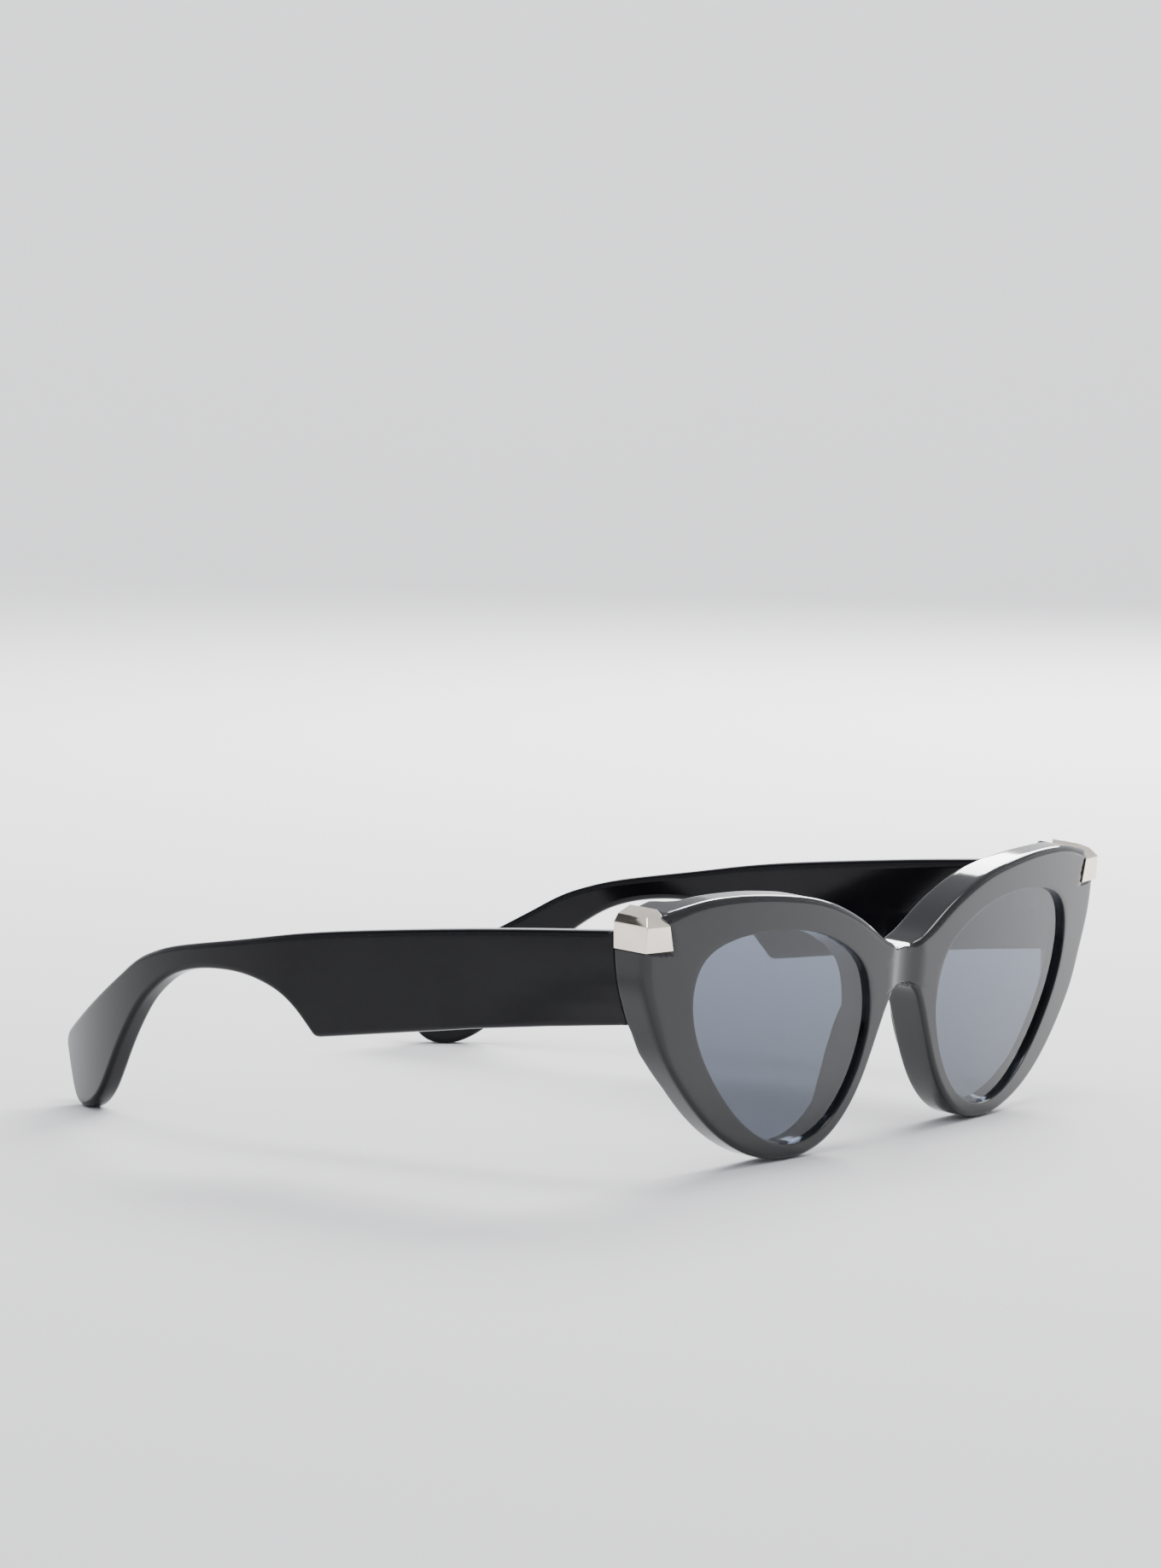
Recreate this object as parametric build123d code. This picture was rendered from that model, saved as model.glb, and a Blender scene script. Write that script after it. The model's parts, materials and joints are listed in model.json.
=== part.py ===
"""Cat eye sunglasses, standing open on a table.

The wearer looks along -Y, so the wearer's left side is +X. Units are millimetres. Each left-hand piece is
modelled once and mirrored for the right. The front is modelled upright, with X across, Y its depth (0 at
the middle of the front face, backwards positive) and Z up, and is then leaned forwards. The hinge is
modelled about its own upright pin.
"""

import os

from build123d import *

os.makedirs("parts", exist_ok=True)

# Front
FRONT_LEAN = 4.89  # degrees that the top of the front leans forwards
FRONT_RADIUS = 425.0  # horizontal curve of the front face
RIM_DEPTH = 4.7
EDGE_ROUND = 1.0
BRIDGE_SCOOP_RADIUS = 11.0
BRIDGE_SCOOP_DEPTH = 0.9

# Front outline, left half as (across, up)
TOP_EDGE = [(0, 34.3), (3.4, 34.9), (6.8, 36.4), (13.1, 40.0), (21.5, 43.7), (28.5, 45.6), (36.5, 46.8),
            (45, 47.5), (52, 47.6), (59, 47.0), (72, 44.4)]
LOWER_EDGE = [(72, 39), (71.3, 33.7), (69, 27.5), (65.3, 20.6), (59.4, 13.4), (51, 6.3), (40.9, 1.5),
              (31, -0.1), (21, 2.2), (12.9, 9.4), (8.6, 17.1), (5.9, 22.8), (3.4, 26.4), (0, 27.5)]

# Lens opening as (across, up), closed
LENS_OPENING = [(10.8, 24), (12.8, 31), (18, 35.5), (28.2, 39.3), (41, 40.5), (52, 39.3),
                (57.8, 36), (59.5, 30.1), (57.5, 22.6), (52.2, 14.8), (44.2, 7.4), (35.2, 3.2),
                (27, 3.1), (19.7, 6.4), (14.2, 12.6), (11.5, 18.8)]
LENS_OUTER_POINT = 7  # the point of the opening nearest the temple
LENS_SET_BACK = 1.0  # front face of the lens behind the front face of the rim
LENS_THICKNESS = 1.8
LENS_IN_GROOVE = 0.7  # how far the lens edge reaches into the rim
LENS_PLAY = 0.03

# End piece, the thick outer corner of the front
END_BLEND = [(9.4, 15.5), (10.4, 19.0), (11.7, 22.8), (12.8, 26.0)]  # lower back edge as (backwards, up)
END_INNER_BLEND = [(55.5, 7.8), (60.0, 9.4), (62.5, 15.0)]  # inner back edge as (across, backwards)

# Corner cap
CAP_PROUD = 0.35
CAP_WALL = 1.0
CAP_PLAY = 0.03
CAP_BOTTOM = 39.1
CAP_INNER_LOW_X = 65.6
CAP_INNER_HIGH_X = 67.5
CAP_SIDE_X = 72.0
CAP_TOP_OUTER = 44.6
CAP_TOP_INNER = 45.7
CAP_SIDE_CHAMFER = (1.3, 1.4)  # inwards, down
CAP_FRONT_CHAMFER = (1.9, 2.0)  # backwards, down
CAP_TURN = 8.5  # degrees, the front face's direction at the corner
CAP_CORNER_ROUND = 0.9
CAP_PIN_RADIUS = 0.6
CAP_PIN_LENGTH = 1.6
CAP_PINS = [(68.2, 40.7), (69.6, 41.9)]  # (across, up)

# Nose pads, bonded to the back of the rims
PAD_INNER_EDGE = [(5.5, 26.3), (7.4, 21.6), (9.9, 16.4), (12.9, 11.8), (16.9, 7.3),
                  (21.4, 4.4)]  # (across, up)
PAD_WIDTH = 2.8
PAD_SPLAY = 0.16  # sideways for each millimetre backwards
PAD_BACK = [(3.5, 26.0), (6.4, 25.0), (8.6, 21.0), (8.4, 14.5), (7.2, 9.0), (5.6, 6.0),
            (3.5, 4.6)]  # (depth, up)
PAD_EDGE_ROUND = 0.9

# Hinge, about its own upright pin
PIN_X = 66.6
PIN_Y = 10.6
PIN_Z = 34.4
END_FACE_Y = -1.45  # back face of the end piece, from the pin
TEMPLE_FACE_Y = -1.30  # front end of the temple, from the pin
TEMPLE_INNER_X = 1.5  # inner face of the temple, from the pin
BARREL_RADIUS = 1.25
BARREL_COUNT = 5
BARREL_PITCH = 1.5
BARREL_GAP = 0.06
SCREW_RADIUS = 0.7
SCREW_PLAY = 0.03
SCREW_HEAD_RADIUS = 1.1
SCREW_HEAD_HEIGHT = 0.7
SCREW_SLOT = (0.3, 0.35)  # width, depth
SCREW_TAIL = 0.4
LEAF_THICKNESS = 0.9
LEAF_PLAY = 0.02
FRONT_LEAF_INNER_X = -4.4
FRONT_LEAF_OUTER_X = 1.2
TEMPLE_LEAF_SINK = 0.4
TEMPLE_LEAF_END_Y = 8.2
FIX_SCREW_RADIUS = 0.45
FIX_SCREW_LENGTH = 1.9
FIX_HEAD_RADIUS = 0.75
FIX_HEAD_HEIGHT = 0.35
FRONT_FIXINGS = [(-2.9, -1.9), (-2.9, 1.9)]  # (across, up) from the pin
TEMPLE_FIXINGS = [(3.9, 0.0), (6.7, 0.0)]  # (backwards, up) from the pin

# Temple
TEMPLE_OUTER_X = 72.0
TEMPLE_BEND_Y = 79.0
TEMPLE_BEND_RADIUS = 120.0
TEMPLE_EDGE_ROUND = 0.9
TEMPLE_TOP = [(4.0, 43.2), (36.0, 41.3), (69.0, 38.6), (92.0, 35.5), (108.0, 33.1), (118.0, 30.3),
              (124.4, 26.9)]
TIP_TOP = (147.2, 13.9)
TIP_BACK = (149.4, 10.9)
TIP_LOW_BACK = (146.2, 3.4)
TIP_SOLE = [(146.2, 3.4), (143.6, 0.6), (140.6, 0.0), (137.0, 1.0), (132.0, 4.8)]
HOOK = [(132.0, 4.8), (127.4, 10.9), (120.4, 19.6), (114.0, 25.2), (106.4, 28.7), (96.0, 30.0),
        (87.0, 29.2), (80.6, 26.6), (75.6, 22.4)]
STEP_CORNER = (72.4, 20.0)
STEP_ROUND = 1.2
TEMPLE_BOTTOM = [(40.0, 23.9), (4.0, 26.9)]
TEMPLE_SLANT = [(72.0, 39.0), (71.1, 33.7), (68.7, 27.5), (67.1, 24.0)]  # front end, outer face (across, up)
TEMPLE_SLANT_END_Y = 46.0  # the outer face is upright from here back
TEMPLE_TOE = [(68.1, 29.9), (66.8, 29.0), (66.8, 24.0)]  # inner face below the hinge (across, up)

# Core wire, sealed inside the temple
WIRE_HEIGHT = 1.4
WIRE_WIDTH = 1.2
WIRE_ROUTE = [(20.5, 34.0), (60.0, 31.5), (84.0, 33.3), (98.0, 32.9), (108.0, 30.9), (118.0, 26.0),
              (138.0, 9.0)]

# Moves the whole object so that its origin is under its middle
ROW_SHIFT_Y = -73.1

BIG = 60.0


def closed(*lines):
    """A face inside lines that meet end to end."""
    found = []
    for line in lines:
        found += line.edges()
    return make_face(found)


def across_front(face, depth_from, depth_to):
    """A face drawn as (across, up), pushed along the depth."""
    return Pos(0, depth_from, 0) * extrude(Plane.XZ * face, depth_to - depth_from, dir=(0, 1, 0))


def across_side(face, x_from, x_to):
    """A face drawn as (backwards, up), pushed sideways."""
    return Pos(x_from, 0, 0) * extrude(Plane.YZ * face, x_to - x_from, dir=(1, 0, 0))


def upwards(face, z_from, z_to):
    """A face drawn as (across, backwards), pushed up."""
    return Pos(0, 0, z_from) * extrude(face, z_to - z_from, dir=(0, 0, 1))


def box_between(low, high):
    size = [h - l for l, h in zip(low, high)]
    middle = [(h + l) / 2 for l, h in zip(low, high)]
    return Pos(*middle) * Box(*size)


def mirrored(shape):
    return mirror(shape, about=Plane.YZ)


def rounded(shape, edges, radius):
    """The shape with those edges rounded, by less if the full radius doesn't fit."""
    for share in (1.0, 0.8, 0.6, 0.4):
        try:
            done = fillet(edges, radius * share)
            if done.is_valid and done.volume > 0:
                return done
        except Exception:
            pass
    print("an edge was left sharp")
    return shape


def leaning(shape):
    """From the upright front to the leaning front."""
    return Rot(FRONT_LEAN, 0, 0) * shape


def at_pin(shape):
    """From the hinge's own frame to the left hinge."""
    return Pos(PIN_X, PIN_Y, PIN_Z) * shape


def roller(depth):
    """The upright cylinder whose near side is the front face moved back by a depth."""
    return Pos(0, FRONT_RADIUS, 0) * Cylinder(FRONT_RADIUS - depth, 4 * BIG)


def between(shape, depth_from, depth_to):
    """The part of a shape between two depths behind the front face."""
    return (shape & roller(depth_from)) - roller(depth_to)


def both_sides(points):
    """A run of points from the middle to the left, with its mirror image before it."""
    return [(-x, z) for x, z in reversed(points[1:])] + points


def front_outline():
    """The front-view outline."""
    top = Spline(*both_sides(TOP_EDGE), tangents=[(0.985, 0.17), (0.985, -0.17)], tangent_scalars=[1, 1])
    lower = Spline(*both_sides(LOWER_EDGE[::-1]), tangents=[(0.1, -1), (0.1, 1)], tangent_scalars=[1, 1])
    side = Line(TOP_EDGE[-1], LOWER_EDGE[0])
    return closed(top, side, lower, mirrored(side))


def lens_outline(grown):
    """The lens opening, larger by a distance all round."""
    count = len(LENS_OPENING)
    points = []
    for i, (x, z) in enumerate(LENS_OPENING):
        before = Vector(*LENS_OPENING[i - 1])
        after = Vector(*LENS_OPENING[(i + 1) % count])
        along = (after - before).normalized()
        points.append((x - along.Y * grown, z + along.X * grown))
    upper = Spline(*points[:LENS_OUTER_POINT + 1], tangents=[(0, 1), (0, -1)], tangent_scalars=[1, 1])
    lower = Spline(*points[LENS_OUTER_POINT:], points[0], tangents=[(0, -1), (0, 1)], tangent_scalars=[1, 1])
    return closed(upper, lower)


def end_zone():
    """Where the end piece may stand behind the rim."""
    blend = Spline(*END_BLEND)
    rest = Polyline(END_BLEND[-1], (15, 30), (15, 50), (1, 50), (1, END_BLEND[0][1]), END_BLEND[0])
    side = across_side(closed(blend, rest), 50, 80)
    inner = Spline(*END_INNER_BLEND)
    box = Polyline(END_INNER_BLEND[-1], (80, 15), (80, 1), (55.5, 1), END_INNER_BLEND[0])
    return side & upwards(closed(inner, box), 10, 55)


def behind_joint():
    """Everything behind the plane of the joint, in the leaning frame."""
    return at_pin(box_between((-10, END_FACE_Y, -BIG), (20, BIG, BIG)))


def cap_block(inset, reach):
    """The chamfered corner, smaller by an inset, and reaching inwards and down by a distance."""
    side = CAP_SIDE_X + CAP_PROUD - inset
    top_out = CAP_TOP_OUTER + CAP_PROUD - inset
    top_in = CAP_TOP_INNER + CAP_PROUD - inset
    top = (top_out + top_in) / 2
    front = -CAP_PROUD + inset
    side_in, side_down = CAP_SIDE_CHAMFER
    front_back, front_down = CAP_FRONT_CHAMFER
    low_in = CAP_INNER_LOW_X - reach
    high_in = CAP_INNER_HIGH_X - reach
    low = CAP_BOTTOM - reach
    view = Polyline((low_in, low), (side + side_in, low), (side + side_in, top_out - 2 * side_down),
                    (side - side_in, top_out), (high_in, top_in), close=True)
    slope = Polyline((front - front_back, 30), (front - front_back, top - 2 * front_down),
                     (front + front_back, top), (front + 4, 50), (20, 50), (20, 30), close=True)
    face_depth = CAP_SIDE_X**2 / (2 * FRONT_RADIUS)
    turned = Pos(CAP_SIDE_X, face_depth, 0) * Rot(0, 0, CAP_TURN) * Pos(-CAP_SIDE_X, 0, 0)
    inner = (turned * Pos(CAP_SIDE_X - 20, front, 0)).position
    outer = (turned * Pos(CAP_SIDE_X, front, 0)).position
    rise = (outer.Y - inner.Y) / (outer.X - inner.X)
    corner_y = outer.Y + rise * (side - outer.X)
    plan = closed(Polyline((inner.X, inner.Y), (side, corner_y), (side, 20), (inner.X, 20), close=True))
    tip = plan.vertices().sort_by_distance(Vector(side, corner_y))[0]
    plan = fillet(tip, CAP_CORNER_ROUND - inset / 2)
    block = upwards(plan, 30, 60) & across_front(closed(view), -6, 25)
    return block & (turned * across_side(closed(slope), 45, 90))


def pin_along(x, z, radius, length):
    """A round pin that starts inside the cap and points backwards."""
    pin = Cylinder(radius, length, align=(Align.CENTER, Align.CENTER, Align.MIN))
    return Pos(x, 6.2, z) * Rot(-90, 0, 0) * pin


def corner_cap():
    """The hollow metal cap over the outer top corner, with its fixing pins."""
    core = cap_block(CAP_WALL, 8)
    cap = cap_block(0, 0) - core
    cap = leaning(cap) - behind_joint()
    for x, z in CAP_PINS:
        cap += leaning(pin_along(x, z, CAP_PIN_RADIUS, CAP_PIN_LENGTH + 1))
    return cap


def cap_seat():
    """What the front loses to make room for the left cap."""
    core = cap_block(CAP_WALL + CAP_PLAY, 8)
    seat = leaning(cap_block(-3, CAP_PLAY) - core)
    for x, z in CAP_PINS:
        seat += leaning(pin_along(x, z, CAP_PIN_RADIUS + CAP_PLAY, CAP_PIN_LENGTH + 1.1))
    return seat


def depth_of(point):
    """How far a point is behind the front face."""
    return FRONT_RADIUS - Vector(point.X, point.Y - FRONT_RADIUS, 0).length


def edges_at_depth(shape, depth):
    return [e for e in shape.edges() if all(abs(depth_of(e @ t) - depth) < 0.01 for t in (0, 0.5, 1))]


def fixing_axis_front(x, z):
    """Places a screw so that it points forwards into the back of the end piece."""
    return Pos(x, END_FACE_Y, z) * Rot(90, 0, 0)


def fixing_axis_temple(y, z):
    """Places a screw so that it points outwards into the inner face of the temple."""
    return Pos(TEMPLE_INNER_X + TEMPLE_LEAF_SINK - LEAF_THICKNESS, y, z) * Rot(0, 90, 0)


def fixing_screw(play):
    """A small flat-headed screw, head end at the origin, pointing up."""
    base = (Align.CENTER, Align.CENTER, Align.MIN)
    screw = Cylinder(FIX_HEAD_RADIUS + play, FIX_HEAD_HEIGHT + play, align=base)
    screw += Cylinder(FIX_SCREW_RADIUS + play, LEAF_THICKNESS + FIX_SCREW_LENGTH + play, align=base)
    if not play:
        screw -= Box(2 * BARREL_RADIUS, 0.2, 0.3)
    return screw


def front_leaf_plate(play):
    half_height = BARREL_COUNT * BARREL_PITCH / 2
    low = (FRONT_LEAF_INNER_X - play, END_FACE_Y - LEAF_THICKNESS - play, -half_height - play)
    high = (FRONT_LEAF_OUTER_X + play, END_FACE_Y + play, half_height + play)
    return box_between(low, high)


def temple_leaf_plate(play):
    half_height = BARREL_COUNT * BARREL_PITCH / 2
    outer = TEMPLE_INNER_X + TEMPLE_LEAF_SINK
    low = (outer - LEAF_THICKNESS - play, BARREL_RADIUS + 0.35 - play, -half_height + 1.0 - play)
    high = (outer + play, TEMPLE_LEAF_END_Y + play, half_height - 1.0 + play)
    return box_between(low, high)


def barrel(number, play):
    """One barrel, counted from the bottom, without its hole."""
    height = BARREL_PITCH - BARREL_GAP + 2 * play
    return Pos(0, 0, (number - (BARREL_COUNT - 1) / 2) * BARREL_PITCH) * Cylinder(BARREL_RADIUS, height)


def screw_hole():
    return Cylinder(SCREW_RADIUS + SCREW_PLAY, 20)


def hinge_front_leaf():
    leaf = front_leaf_plate(0)
    for number in range(0, BARREL_COUNT, 2):
        middle = (number - (BARREL_COUNT - 1) / 2) * BARREL_PITCH
        half = (BARREL_PITCH - BARREL_GAP) / 2
        low = (-BARREL_RADIUS, END_FACE_Y - 0.1, middle - half)
        web = box_between(low, (FRONT_LEAF_OUTER_X, 0, middle + half))
        leaf += barrel(number, 0) + web
    leaf -= screw_hole()
    for x, z in FRONT_FIXINGS:
        leaf -= fixing_axis_front(x, z) * fixing_screw(LEAF_PLAY)
    return at_pin(leaf)


def hinge_temple_leaf():
    leaf = temple_leaf_plate(0)
    outer = TEMPLE_INNER_X + TEMPLE_LEAF_SINK
    for number in range(1, BARREL_COUNT, 2):
        middle = (number - (BARREL_COUNT - 1) / 2) * BARREL_PITCH
        half = (BARREL_PITCH - BARREL_GAP) / 2
        web = box_between((0.2, -0.2, middle - half), (outer, BARREL_RADIUS + 0.5, middle + half))
        leaf += barrel(number, 0) + web
    leaf -= screw_hole()
    for y, z in TEMPLE_FIXINGS:
        leaf -= fixing_axis_temple(y, z) * fixing_screw(LEAF_PLAY)
    return at_pin(leaf)


def hinge_screw():
    half = BARREL_COUNT * BARREL_PITCH / 2
    width, depth = SCREW_SLOT
    screw = box_between((-0.1, -0.1, -half), (0.1, 0.1, half))
    screw += Pos(0, 0, -SCREW_TAIL / 2) * Cylinder(SCREW_RADIUS, 2 * half + SCREW_TAIL)
    screw += Pos(0, 0, half + SCREW_HEAD_HEIGHT / 2) * Cylinder(SCREW_HEAD_RADIUS, SCREW_HEAD_HEIGHT)
    top = half + SCREW_HEAD_HEIGHT
    screw -= box_between((-2, -width / 2, top - depth), (2, width / 2, top + 1))
    return at_pin(screw)


def front_frame():
    """The one-piece front: rims, bridge and end pieces."""
    outline = across_front(front_outline(), -3, 20)
    end = between(outline & end_zone(), 1, 12)
    front = between(outline, 0, RIM_DEPTH)
    front = rounded(front, edges_at_depth(front, 0), EDGE_ROUND) + end + mirrored(end)
    scoop_y = BRIDGE_SCOOP_DEPTH - BRIDGE_SCOOP_RADIUS
    front -= Pos(0, scoop_y, 30) * Cylinder(BRIDGE_SCOOP_RADIUS, BIG)
    opening = across_front(lens_outline(0), -3, 20)
    groove = across_front(lens_outline(LENS_IN_GROOVE + LENS_PLAY), -3, 20)
    groove = between(groove, LENS_SET_BACK - LENS_PLAY, LENS_SET_BACK + LENS_THICKNESS + LENS_PLAY)
    for cut in (opening, groove):
        front -= cut
        front -= mirrored(cut)
    front = leaning(front)
    hardware = behind_joint() + at_pin(front_leaf_plate(LEAF_PLAY))
    for x, z in FRONT_FIXINGS:
        hardware += at_pin(fixing_axis_front(x, z) * fixing_screw(LEAF_PLAY))
    for cut in (cap_seat(), hardware):
        front -= cut
        front -= mirrored(cut)
    return front


def lens():
    disc = across_front(lens_outline(LENS_IN_GROOVE), -3, 20)
    return leaning(between(disc, LENS_SET_BACK, LENS_SET_BACK + LENS_THICKNESS))


def nose_pad():
    """The pad bonded behind the nose side of the rim."""
    inner = Spline(*PAD_INNER_EDGE)
    outer = Pos(PAD_WIDTH, 1.6, 0) * inner
    ends = [Line(inner @ 0, outer @ 0), Line(inner @ 1, outer @ 1)]
    face = closed(inner, outer, *ends)
    block = Pos(0, RIM_DEPTH - 1, 0) * extrude(Plane.XZ * face, 10, dir=(PAD_SPLAY, 1, 0))
    back = Spline(*PAD_BACK)
    side = across_side(closed(back, Line(back @ 1, back @ 0)), 0, 40)
    pad = between(block & side, RIM_DEPTH, 14)
    inner_edges = [e for e in pad.edges() if depth_of(e @ 0.5) > RIM_DEPTH + 0.5]
    return leaning(rounded(pad, inner_edges, PAD_EDGE_ROUND))


def temple_band(from_outside, to_outside):
    """The upright band between two distances in from the outer face of the temple."""
    def line(inset):
        start = (TEMPLE_OUTER_X - inset, PIN_Y + TEMPLE_FACE_Y)
        bend = (TEMPLE_OUTER_X - inset, TEMPLE_BEND_Y)
        return start, bend, JernArc(bend, (0, 1), TEMPLE_BEND_RADIUS - inset, 45)
    start_a, bend_a, arc_a = line(from_outside)
    start_b, bend_b, arc_b = line(to_outside)
    band = closed(Line(start_a, bend_a), arc_a, Line(arc_a @ 1, arc_b @ 1), arc_b, Line(bend_b, start_b),
                  Line(start_b, start_a))
    return upwards(band, -10, 60)


def temple_profile():
    top = Spline(*TEMPLE_TOP)
    hook = Spline(*HOOK, tangents=[(-0.66, 0.75), (-0.8, -0.65)], tangent_scalars=[1, 1])
    sole = Spline(*TIP_SOLE)
    tip = ThreePointArc(TIP_TOP, (149.0, 13.0), TIP_BACK)
    low = Polyline(HOOK[-1], STEP_CORNER, *TEMPLE_BOTTOM, TEMPLE_TOP[0])
    lines = [top, Line(top @ 1, TIP_TOP), tip, Line(TIP_BACK, TIP_LOW_BACK), sole, hook, low]
    face = closed(*lines)
    corner = face.vertices().sort_by_distance(Vector(*STEP_CORNER))[0]
    return fillet(corner, STEP_ROUND)


def core_wire(play):
    """The wire that stiffens the temple."""
    up = WIRE_HEIGHT / 2 + play
    upper = Spline(*[(y, z + up) for y, z in WIRE_ROUTE])
    lower = Spline(*[(y, z - up) for y, z in WIRE_ROUTE])
    face = closed(upper, Line(upper @ 1, lower @ 1), lower, Line(lower @ 0, upper @ 0))
    inset = (TEMPLE_OUTER_X - PIN_X - TEMPLE_INNER_X - WIRE_WIDTH) / 2
    return across_side(face, 20, 90) & temple_band(inset - play, inset + WIRE_WIDTH + play)


def between_sections(first, second):
    """A solid with flat-sided sections (across, up) at the temple's front end and where its slant ends."""
    faces = []
    for y, points in ((PIN_Y + TEMPLE_FACE_Y, first), (TEMPLE_SLANT_END_Y, second)):
        faces.append(make_face(Polyline(*[(x, y, z) for x, z in points], close=True)))
    return loft(faces, ruled=True)


def temple():
    thickness = TEMPLE_OUTER_X - PIN_X - TEMPLE_INNER_X
    profile = across_side(temple_profile(), 20, 90)
    arm = profile & temple_band(0, thickness)
    upright = arm.edges().filter_by(Axis.Z)
    level = [e for e in arm.edges() if abs((e % 0.5).X) < 0.9 and (e @ 0.5).Y > PIN_Y]
    arm = rounded(arm, [e for e in level if e not in upright], TEMPLE_EDGE_ROUND)
    inside = [(TEMPLE_OUTER_X - 2, TEMPLE_TOE[-1][1]), (TEMPLE_OUTER_X - 2, TEMPLE_TOE[0][1])]
    toe_end = [(TEMPLE_OUTER_X - thickness, z) for _, z in TEMPLE_TOE]
    arm += profile & between_sections(TEMPLE_TOE + inside, toe_end + inside)
    outside = [(80.0, TEMPLE_SLANT[-1][1]), (80.0, TEMPLE_SLANT[0][1])]
    slant_end = [(TEMPLE_OUTER_X, z) for _, z in TEMPLE_SLANT]
    arm -= between_sections(TEMPLE_SLANT + outside, slant_end + outside)
    arm -= core_wire(LEAF_PLAY)
    seat = temple_leaf_plate(LEAF_PLAY)
    half = BARREL_COUNT * BARREL_PITCH / 2
    outer = TEMPLE_INNER_X + TEMPLE_LEAF_SINK + LEAF_PLAY
    seat += box_between((0, TEMPLE_FACE_Y - 1, -half - 0.3), (outer, BARREL_RADIUS + 0.6, half + 0.3))
    for y, z in TEMPLE_FIXINGS:
        seat += fixing_axis_temple(y, z) * fixing_screw(LEAF_PLAY)
    return arm - at_pin(seat)


def front_leaf_screws():
    return [at_pin(fixing_axis_front(x, z) * fixing_screw(0)) for x, z in FRONT_FIXINGS]


def temple_leaf_screws():
    return [at_pin(fixing_axis_temple(y, z) * fixing_screw(0)) for y, z in TEMPLE_FIXINGS]


def save(shapes, name):
    """Writes one node, a single solid or a group of like solids, in the row frame."""
    placed = [Pos(0, ROW_SHIFT_Y, 0) * shape for shape in shapes]
    solids = [solid for shape in placed for solid in shape.solids()]
    whole = solids[0] if len(solids) == 1 else Compound(children=solids)
    whole.label = name
    export_step(whole, f"parts/{name}.step")


def save_pair(shapes, name):
    save(shapes, name + "_left")
    save([mirrored(shape) for shape in shapes], name + "_right")


save([front_frame()], "front_frame")
save_pair([lens()], "lens")
save_pair([nose_pad()], "nose_pad")
save_pair([corner_cap()], "corner_cap")
save_pair([hinge_front_leaf()], "hinge_front_leaf")
save_pair([hinge_temple_leaf()], "hinge_temple_leaf")
save_pair([hinge_screw()], "hinge_screw")
save_pair(front_leaf_screws(), "front_leaf_screws")
save_pair(temple_leaf_screws(), "temple_leaf_screws")
save_pair([temple()], "temple")
save_pair([core_wire(0)], "temple_core_wire")
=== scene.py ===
"""Looks for the cat eye sunglasses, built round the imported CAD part.

Scene units are metres, with +Z up and +Y towards the temple tips. Shapes are worked out in millimetres.
"""
import json
import math

import bmesh
import bpy
import numpy as np
from mathutils import Matrix, Vector


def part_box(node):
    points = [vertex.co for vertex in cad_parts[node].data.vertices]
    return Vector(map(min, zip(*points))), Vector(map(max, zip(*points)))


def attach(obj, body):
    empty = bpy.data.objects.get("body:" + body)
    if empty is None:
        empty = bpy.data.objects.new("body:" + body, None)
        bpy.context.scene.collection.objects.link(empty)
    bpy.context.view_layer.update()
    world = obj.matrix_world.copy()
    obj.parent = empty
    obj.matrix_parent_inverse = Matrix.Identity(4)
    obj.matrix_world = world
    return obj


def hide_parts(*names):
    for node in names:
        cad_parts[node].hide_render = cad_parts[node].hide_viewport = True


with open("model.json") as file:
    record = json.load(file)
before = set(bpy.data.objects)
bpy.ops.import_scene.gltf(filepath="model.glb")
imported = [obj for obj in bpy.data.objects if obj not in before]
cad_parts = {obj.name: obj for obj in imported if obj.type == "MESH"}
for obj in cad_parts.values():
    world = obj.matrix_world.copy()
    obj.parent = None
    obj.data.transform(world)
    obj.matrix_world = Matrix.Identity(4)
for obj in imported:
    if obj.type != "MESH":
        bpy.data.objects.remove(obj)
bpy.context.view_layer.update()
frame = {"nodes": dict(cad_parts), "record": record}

MM = 0.001

# The front leans and curves as the CAD's does.
LEAN = math.radians(4.89)
FRONT_RADIUS = 425.0
RIM_DEPTH = 4.7
TEMPLE_START = 9.3  # how far the temples start behind the front face's middle
FRONT_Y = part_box("temple_left")[0][1] / MM - TEMPLE_START  # that middle, in the row frame


# ---------------------------------------------------------------- curves

def smooth_curve(points, count, closed=False, start=None, end=None):
    """A cubic spline through points, sampled evenly along its length."""
    pts = np.array(points, float)
    if closed:
        pts = np.vstack([pts, pts[:1]])
    t = np.r_[0, np.cumsum(np.sqrt(np.linalg.norm(np.diff(pts, axis=0), axis=1)))]
    fine = np.linspace(0, t[-1], 40 * len(pts))
    out = np.column_stack([natural_cubic(t, pts[:, k], fine, closed, None if start is None else start[k],
                                         None if end is None else end[k]) for k in range(2)])
    return even(out, count, closed)


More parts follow.
